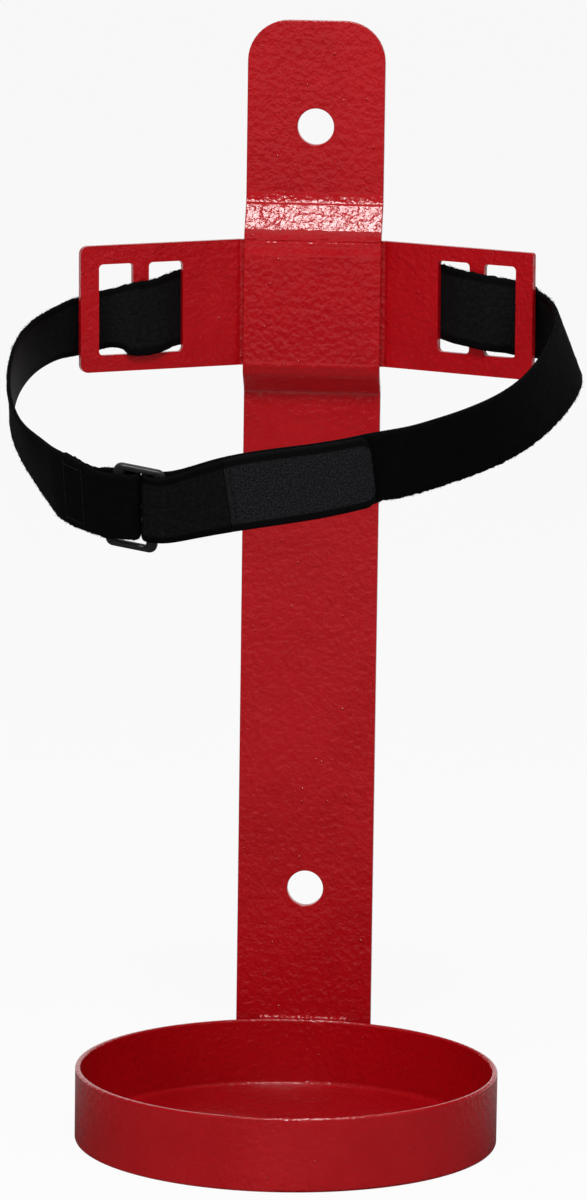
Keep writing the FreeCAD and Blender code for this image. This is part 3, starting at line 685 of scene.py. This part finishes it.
@dataclass(frozen=True)
class StudioFloor(Finish):
    """Pale floor, seen as white by the camera, and behind the part by reflections as well.

    The floor in front of the part stays dim in reflections, as the photographer's side was, up to
    the far end of the room, which is lighter.
    """

    grey: float = 0.8
    white_share: float = 0.93
    front: float = -0.05
    behind: float = 0.45
    far: tuple[float, float] = (-2.8, -3.7)
    far_share: float = 0.5
    dim: float = 0.006

    def build(self, groups: GroupMaker) -> bpy.types.Material:
        """Builds the material with its camera and glossy ray switch."""
        material, bench, shader = self.start("studio_floor")
        where = bench.place()
        tone = bench.group(groups.mottle, {"Vector": where, "Scale": 3.0})
        low = (self.grey * 0.98,) * 3 + (1.0,)
        high = (self.grey,) * 3 + (1.0,)
        colour = bench.blend(tone.outputs[0], low, high)
        bench.feed(shader, {"Base Color": colour, "Roughness": 0.9})
        path = bench.add("LightPath").outputs
        seen = bench.math("MAXIMUM", path["Is Camera Ray"], path["Is Transmission Ray"])
        depth = bench.add("SeparateXYZ", {"Vector": where}).outputs["Y"]
        far = bench.ramp(depth, *self.far, 0.0, self.far_share)
        behind = bench.math("MAXIMUM", bench.ramp(depth, self.front, self.behind), far)
        share = bench.math("MAXIMUM", seen, path["Is Glossy Ray"])
        share = bench.math("MULTIPLY", share, self.white_share)
        white = bench.math("MAXIMUM", seen, behind)
        strength = bench.add("MapRange", {"Value": white, "To Min": self.dim, "To Max": 1.0})
        glow = bench.add("Emission", {"Color": (1, 1, 1, 1), "Strength": strength.outputs[0]})
        mix = bench.add("MixShader", {0: share, 1: shader.outputs[0], 2: glow.outputs[0]})
        bench.feed(bench.nodes["Material Output"], {"Surface": mix.outputs[0]})
        return material


# Pieces


def finish_mesh(bm: bmesh.types.BMesh, name: str, materials: list[bpy.types.Material],
                smooth: bool = True) -> bpy.types.Object:
    """Turns a bmesh into a shown object at the origin.

    Args:
        bm: The mesh, in metres in the part's frame. It is freed.
        name: The object's name.
        materials: Its materials, in slot order.
        smooth: Whether its faces are smooth.

    Returns:
        The new object.
    """
    for face in bm.faces:
        face.smooth = smooth
    mesh = bpy.data.meshes.new(name)
    bm.to_mesh(mesh)
    bm.free()
    for material in materials:
        mesh.materials.append(material)
    piece = bpy.data.objects.new(name, mesh)
    bpy.context.scene.collection.objects.link(piece)
    LOG.info("%s: %d faces", name, len(mesh.polygons))
    return piece


def repeat(bm: bmesh.types.BMesh, count: int) -> list[list[bmesh.types.BMVert]]:
    """Copies everything in a bmesh until there are enough of it.

    Args:
        bm: A bmesh that holds one item.
        count: How many items there should be.

    Returns:
        The vertices of each item.
    """
    size = len(bm.verts)
    while len(bm.verts) < count * size:
        have = len(bm.verts) // size
        take = min(have, count - have)
        bm.verts.ensure_lookup_table()
        first = set(bm.verts[:take * size])
        faces = [f for f in bm.faces if f.verts[0] in first]
        edges = [e for e in bm.edges if e.verts[0] in first]
        bmesh.ops.duplicate(bm, geom=bm.verts[:take * size] + edges + faces)
    bm.verts.ensure_lookup_table()
    return [bm.verts[i * size:(i + 1) * size] for i in range(count)]


@dataclass
class Steelwork:
    """The strip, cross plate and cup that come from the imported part, and the weld between them."""

    coat: bpy.types.Material
    strip_coat: bpy.types.Material
    nodes: dict[str, bpy.types.Object]
    bead_half: float = 15.5 * MM
    bead_radius: float = 1.5 * MM
    bead_place: tuple[float, float] = (76.6 * MM, 27.0 * MM)
    ripple_pitch: float = 3.1 * MM

    def dress(self) -> None:
        """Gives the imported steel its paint."""
        for name in ("back_strip", "cross_plate", "cup"):
            node = self.nodes[name]
            for slot in node.material_slots:
                slot.material = self.strip_coat if name == "back_strip" else self.coat
            LOG.info("%s: painted", name)

    def lay_weld(self) -> bpy.types.Object:
        """Builds the bead as a tube drawn out along the rim, swollen into ripples."""
        bm = bmesh.new()
        steps = 96
        half, radius = self.bead_half + self.bead_radius, self.bead_radius
        bmesh.ops.create_circle(bm, segments=14, radius=radius)
        turn = Matrix.Rotation(math.pi / 2, 4, "Y")
        bmesh.ops.transform(bm, matrix=Matrix.Translation((-half, 0, 0)) @ turn, verts=bm.verts)
        step = Vector((2 * half / steps, 0, 0))
        bmesh.ops.spin(bm, geom=bm.verts[:] + bm.edges[:], cent=(0, 0, 0), axis=(1, 0, 0),
                       dvec=step, angle=0.0, steps=steps, use_merge=False)
        for vert in bm.verts:
            ripple = abs(math.sin(math.pi * vert.co.x / self.ripple_pitch))
            wander = noise.noise(Vector((vert.co.x * 300, 0, 5)))
            end = max(0.0, abs(vert.co.x) - self.bead_half) / self.bead_radius
            swell = (0.7 + 0.24 * ripple + 0.22 * wander) * math.sqrt(max(0.0004, 1 - end * end))
            vert.co.y *= swell
            vert.co.z *= swell
        bmesh.ops.remove_doubles(bm, verts=bm.verts, dist=0.02 * MM)
        bmesh.ops.holes_fill(bm, edges=[e for e in bm.edges if e.is_boundary])
        bmesh.ops.translate(bm, vec=Vector((0, *self.bead_place)), verts=bm.verts)
        bmesh.ops.recalc_face_normals(bm, faces=bm.faces)
        bead = finish_mesh(bm, "weld_bead", [self.coat])
        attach(bead, "root")
        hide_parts("cup_weld")
        return bead


@dataclass
class Strap:
    """The tape with its pile, edge fibres and stitches, and the hook tab at its end."""

    route: TapeRoute
    pile: bpy.types.Material
    back: bpy.types.Material
    hook: bpy.types.Material
    thread: bpy.types.Material
    cell: float = 0.8 * MM
    pile_rise: float = 0.16 * MM
    scallop: float = 0.5 * MM
    scallop_size: float = 1.5 * MM
    tab_thick: float = 1.6 * MM
    tab_corner: float = 4.0 * MM
    fibre_gap: float = 0.3 * MM
    fibre_reach: float = 0.5 * MM
    stitch_long: float = 2.4 * MM
    stitch_rise: float = 0.32 * MM

    def _flat(self, length: float, width: float, thick: float, cell: float) -> bmesh.types.BMesh:
        """A flat closed tape, its middle line on X from 0, with its flat place in its UVs.

        Args:
            length: Along X.
            width: Along Y.
            thick: Along Z.
            cell: The size of a mesh cell.

        Returns:
            The tape, pile side down.
        """
        bm = bmesh.new()
        columns, rows = round(length / cell), round(width / cell)
        bmesh.ops.create_grid(bm, x_segments=columns, y_segments=rows, size=0.5)
        shape = Matrix.Diagonal((length, width, 1, 1))
        place = Matrix.Translation((length / 2, 0, -thick / 2))
        bmesh.ops.transform(bm, matrix=place @ shape, verts=bm.verts)
        raised = bmesh.ops.extrude_face_region(bm, geom=bm.faces[:])["geom"]
        tops = [g for g in raised if isinstance(g, bmesh.types.BMVert)]
        bmesh.ops.translate(bm, vec=Vector((0, 0, thick)), verts=tops)
        walls = [e for e in bm.edges if abs(e.verts[0].co.z - e.verts[1].co.z) > thick / 2]
        bmesh.ops.subdivide_edges(bm, edges=walls, cuts=1)
        bmesh.ops.recalc_face_normals(bm, faces=bm.faces)
        layer = bm.loops.layers.uv.verify()
        for face in bm.faces:
            for loop in face.loops:
                loop[layer].uv = loop.vert.co.xy
            if face.normal.z > 0.5:
                face.material_index = TapeFace.BACK.value
        return bm

    def _wrap(self, bm: bmesh.types.BMesh, frames: object, lift: float = 0.0) -> None:
        """Bends a flat tape onto its route, narrowed where the tape curls."""
        bm.verts.ensure_lookup_table()
        flat = np.array([v.co for v in bm.verts])
        places, index = np.unique(np.round(flat[:, 0] / MM, 5), return_inverse=True)
        centre, across, face, half = frames(places)
        index = index.ravel()
        reach = flat[:, 1:2] * half[index] / (self.route.width / 2)
        solid = centre[index] * MM + across[index] * reach + face[index] * (flat[:, 2:3] + lift)
        for vert, co in zip(bm.verts, solid):
            vert.co = co

    def _nap(self, bm: bmesh.types.BMesh, half: float, thick: float) -> None:
        """Roughens the pile side and scallops its edges; the back stays flat."""
        for vert in bm.verts:
            x, y, z = vert.co
            edge = min(1.0, max(0.0, (abs(y) - half + 1.2 * MM) / (1.2 * MM)))
            side = math.copysign(1.0, y)
            if z < thick * 0.4:
                tuft = noise.noise(Vector((x, side * 0.1, 0)) / self.scallop_size)
                fine = noise.noise(Vector((x, side * 0.3, 0.2)) / (0.45 * self.scallop_size))
                vert.co.y += side * edge * self.scallop * (0.9 * tuft + 0.5 * fine)
            if z < 0:
                lump = noise.noise(vert.co / (1.5 * MM)) + 0.5 * noise.noise(vert.co / (0.7 * MM))
                vert.co.z += self.pile_rise * lump + 0.45 * MM * edge * edge
            elif z > thick * 0.4:
                vert.co.z -= 0.25 * MM * edge * edge

    def cut_tape(self) -> bpy.types.Object:
        """Cuts the tape flat, raises its nap and threads it along the route."""
        length, width = self.route.length * MM, self.route.width * MM
        thick = (self.route.thick - 0.12) * MM
        bm = self._flat(length, width, thick, self.cell)
        self._nap(bm, width / 2, thick)
        self._wrap(bm, self.route.frames)
        tape = finish_mesh(bm, "strap_tape", [self.pile, self.back])
        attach(tape, "root")
        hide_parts("strap")
        return tape

    def cut_tab(self) -> bpy.types.Object:
        """Cuts the hook tab, rounds its free corners and lays it on the run below."""
        length = (self.route.tab_end - self.route.fold_end - self.route.seam) * MM
        half = self.route.width * MM / 2
        bm = self._flat(length, 2 * half, self.tab_thick, 0.65 * MM)
        foot, corner = length - self.tab_corner, self.tab_corner
        for vert in bm.verts:
            ahead = max(0.0, (vert.co.x - foot) / corner)
            most = half - corner * (1 - math.sqrt(max(0.0, 1 - ahead * ahead)))
            vert.co.y *= most / half
            edge = min(1.0, max(0.0, (abs(vert.co.y) - most + 0.8 * MM) / (0.8 * MM)))
            vert.co.z *= 1 - 0.25 * edge * edge
        self._wrap(bm, self.route.tab_frames, -0.1 * MM)
        tab = finish_mesh(bm, "hook_tape", [self.back, self.hook])
        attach(tab, "root")
        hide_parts("hook_tab")
        return tab

    def _loose_loop(self, bm: bmesh.types.BMesh, thick: float, sides: int, steps: int) -> None:
        """Makes one arched thread of unit size, its feet on X and its crown towards Y."""
        bmesh.ops.create_circle(bm, segments=sides, radius=thick)
        bmesh.ops.translate(bm, vec=Vector((1, 0, 0)), verts=bm.verts)
        upright = Matrix.Rotation(math.pi / 2, 3, "X")
        bmesh.ops.rotate(bm, cent=(0, 0, 0), matrix=upright, verts=bm.verts)
        bmesh.ops.spin(bm, geom=bm.verts[:] + bm.edges[:], cent=(0, 0, 0), axis=(0, 0, 1),
                       angle=math.pi, steps=steps, use_merge=False)
        bmesh.ops.holes_fill(bm, edges=[e for e in bm.edges if e.is_boundary])
        bmesh.ops.recalc_face_normals(bm, faces=bm.faces)

    def _scatter(self, bm: bmesh.types.BMesh, name: str, frames: list[Matrix]) -> bpy.types.Object:
        """Repeats one thread at each frame and finishes the lot as one piece."""
        for verts, frame in zip(repeat(bm, len(frames)), frames):
            for vert in verts:
                vert.co = frame @ vert.co
        piece = finish_mesh(bm, name, [self.thread])
        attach(piece, "root")
        return piece

    def raise_fibres(self) -> bpy.types.Object:
        """Stands loose loops of pile along both edges of the tape."""
        pick = random.Random(11)
        bm = bmesh.new()
        self._loose_loop(bm, 0.13, 3, 4)
        gap = self.fibre_gap / MM
        per_edge = int((self.route.length - 40) / gap)
        places = np.array([20 + gap * (i + pick.random()) for i in range(per_edge)] * 2)
        centre, across, face, half = self.route.frames(places)
        frames = []
        for i in range(len(places)):
            side = 1 if i < per_edge else -1
            foot = centre[i] + side * across[i] * (half[i] - 0.2)
            foot = foot - face[i] * pick.uniform(-0.2, 0.7)
            up = Vector(side * across[i] - face[i] * pick.uniform(-0.3, 0.9)).normalized()
            spread = up.cross(Vector([pick.gauss(0, 1) for _ in range(3)])).normalized()
            reach = self.fibre_reach * pick.uniform(0.4, 1.25)
            wide = 0.5 * reach * pick.uniform(0.5, 1.2)
            turn = Matrix((spread * wide, up * reach, up.cross(spread) * wide)).transposed()
            frames.append(Matrix.Translation(Vector(foot) * MM) @ turn.to_4x4())
        return self._scatter(bm, "edge_fibres", frames)

    def sew(self) -> bpy.types.Object:
        """Sews the tail to the left run, and the hook tab to the fold, with short stitches."""
        bm = bmesh.new()
        self._loose_loop(bm, 0.16, 6, 6)
        frames = []
        for centre, along, out in self._stitch_places():
            half = self.stitch_long / 2
            side = along.cross(out) * half * 0.8
            turn = Matrix((along * half, out * self.stitch_rise, side)).transposed()
            frames.append(Matrix.Translation(centre) @ turn.to_4x4())
        return self._scatter(bm, "stitches", frames)

    def _stitch_places(self) -> list[tuple[Vector, Vector, Vector]]:
        """Places of the stitches: a box on the tail, and a row along the tab's seam.

        Returns:
            The middle of each stitch, its run and the way it stands out.
        """
        route, pitch = self.route, self.stitch_long / MM + 0.5
        left = route.ring_at - route.ring_bar_at
        start, end, half = left - route.tail_long + 3, left - 12, route.width / 2 - 3.5
        spots = [(d, w, True) for d in (start, end) for w in np.arange(-half, half + 0.1, pitch)]
        runs = np.arange(start + pitch / 2, end, pitch)
        spots += [(d, w, False) for w in (-half, half) for d in runs]
        layer = route.thick + route.gap / 2 - 0.1
        made = [self._stitch(d, w, upright, layer) for d, w, upright in spots]
        seam = route.fold_end + 2.2
        made += [self._stitch(seam, w, True, 0.72) for w in np.arange(-10.5, 10.6, pitch)]
        return made

    def _stitch(self, distance: float, off: float, upright: bool,
                lift: float) -> tuple[Vector, Vector, Vector]:
        """One stitch, from its distance along the loop, its place across and its lift."""
        centre, forward, across, _ = self.route.loop_frame(distance)
        face = np.cross(forward, across)
        run = across if upright else forward
        middle = centre + across * off + face * lift
        return Vector(middle * MM), Vector(run), Vector(face)


@dataclass
class Studio:
    """Camera, lights, floor and surroundings."""

    floor: bpy.types.Material
    place: tuple[float, float, float] = (0.19340, -2.44157, 0.62871)
    yaw: float = 0.07893
    pitch: float = 0.17330
    roll: float = 0.01366
    focal_share: float = 6900.49 / 1200
    fill: float = 0.035
    far_way: tuple[float, float] = (-0.8, -0.95)
    far_rise: tuple[float, float] = (0.35, 0.2)
    far_share: float = 0.5

    def set_camera(self) -> None:
        """Stands the camera where the photograph was taken."""
        data = bpy.data.cameras.new("camera")
        data.sensor_fit = "VERTICAL"
        data.sensor_height = 24.0
        data.sensor_width = 24.0 * 587 / 1200
        data.lens = self.focal_share * data.sensor_height
        data.clip_end = 30.0
        camera = bpy.data.objects.new("camera", data)
        turn = Matrix.Rotation(self.yaw, 4, "Z") @ Matrix.Rotation(math.pi / 2 - self.pitch, 4, "X")
        turn = turn @ Matrix.Rotation(self.roll, 4, "Z")
        camera.matrix_world = Matrix.Translation(self.place) @ turn
        bpy.context.scene.collection.objects.link(camera)
        bpy.context.scene.camera = camera

    def lay_floor(self) -> None:
        """Lays the floor that the cup stands on."""
        bm = bmesh.new()
        bmesh.ops.create_circle(bm, cap_ends=True, segments=96, radius=9.0)
        floor = finish_mesh(bm, "floor", [self.floor], smooth=False)

    def add_lamp(self, name: str, place: tuple, aim: tuple, size: tuple, power: float,
                 mirrored: bool = False) -> None:
        """Adds a soft rectangular lamp.

        Args:
            name: The lamp's name.
            place: Where it stands.
            aim: What it points at.
            size: Its width and height.
            power: Its power in watts.
            mirrored: Whether gloss on the part shows the lamp.
        """
        data = bpy.data.lights.new(name, "AREA")
        data.shape = "RECTANGLE"
        data.size, data.size_y = size
        data.energy = power
        lamp = bpy.data.objects.new(name, data)
        lamp.visible_glossy = mirrored
        look = (Vector(aim) - Vector(place)).to_track_quat("-Z", "Y")
        lamp.matrix_world = Matrix.Translation(place) @ look.to_matrix().to_4x4()
        bpy.context.scene.collection.objects.link(lamp)

    def light(self) -> None:
        """Sets the lamps: a broad one above the front, and weaker ones to the sides."""
        self.add_lamp("top", (0.06, -0.75, 1.5), (0, 0, 0.25), (0.6, 0.36), 17.0, mirrored=True)
        self.add_lamp("left", (-1.5, -1.6, 0.9), (0, 0, 0.2), (0.8, 1.2), 13.5)
        self.add_lamp("right", (1.6, -1.4, 0.8), (0, 0, 0.2), (0.8, 1.2), 9.5)

    def surround(self) -> None:
        """White behind the part, a dim fill in front, and in gloss the lighter far end of the room."""
        world = bpy.data.worlds.new("studio")
        bpy.context.scene.world = world
        world.use_nodes = True
        bench = NodeBench(world.node_tree)
        path = bench.add("LightPath").outputs
        seen = bench.math("MAXIMUM", path["Is Camera Ray"], path["Is Transmission Ray"])
        way = bench.add("SeparateXYZ", {"Vector": bench.place()}).outputs
        level = bench.ramp(way["Z"], *self.far_rise, 0.0, self.far_share)
        far = bench.math("MULTIPLY", bench.ramp(way["Y"], *self.far_way), level)
        behind = bench.math("MAXIMUM", bench.ramp(way["Y"], 0.2, 1.0), far)
        mirrored = bench.math("MULTIPLY", path["Is Glossy Ray"], behind)
        white = bench.math("MAXIMUM", seen, mirrored)
        strength = bench.add("MapRange", {"Value": white, "To Min": self.fill, "To Max": 1.0})
        sky = {"Color": (1, 1, 1, 1), "Strength": strength.outputs[0]}
        bench.feed(bench.nodes["Background"], sky)

    def build(self) -> None:
        """Builds the whole studio."""
        self.set_camera()
        self.lay_floor()
        self.light()
        self.surround()
        bpy.context.scene.view_settings.view_transform = "Standard"


def main() -> None:
    """Loads the part, dresses it and lights it."""
    logging.basicConfig(level=logging.INFO, format="%(name)s: %(message)s")
    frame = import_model()
    groups = GroupMaker()
    coat = PowderCoat().build(groups)
    strip_coat = PowderCoat("pressed_powder_coat", crease=(321.0, 335.0), presses=(
        (334.4, 339.0, -1.2), (323.6, 325.8, 0.5), (320.2, 322.2, -0.6), (315.6, 319.8, -0.8),
        (275.6, 276.6, -0.12), (273.0, 275.4, 0.35), (263.6, 265.8, -0.8))).build(groups)
    steel = Steelwork(coat, strip_coat, frame["nodes"])
    steel.dress()
    steel.lay_weld()
    hook = SmoothTape("hook_back", (0.0060, 0.0060, 0.0068, 1), (0.026, 0.026, 0.029, 1),
                      (0.0035, 0.0035, 0.004, 1), fleck_scale=1500.0)
    strap = Strap(TapeRoute(), PileTape().build(groups), SmoothTape().build(groups),
                  hook.build(groups), Thread().build(groups))
    tape = strap.cut_tape()
    tab = strap.cut_tab()
    extras = [strap.raise_fibres(), strap.sew()]
    ring = frame["nodes"]["strap_ring"]
    plastic = MouldedPlastic().build(groups)
    for slot in ring.material_slots:
        slot.material = plastic
    Studio(StudioFloor().build(groups)).build()
    bpy.context.view_layer.update()


if __name__ == "__main__":
    main()
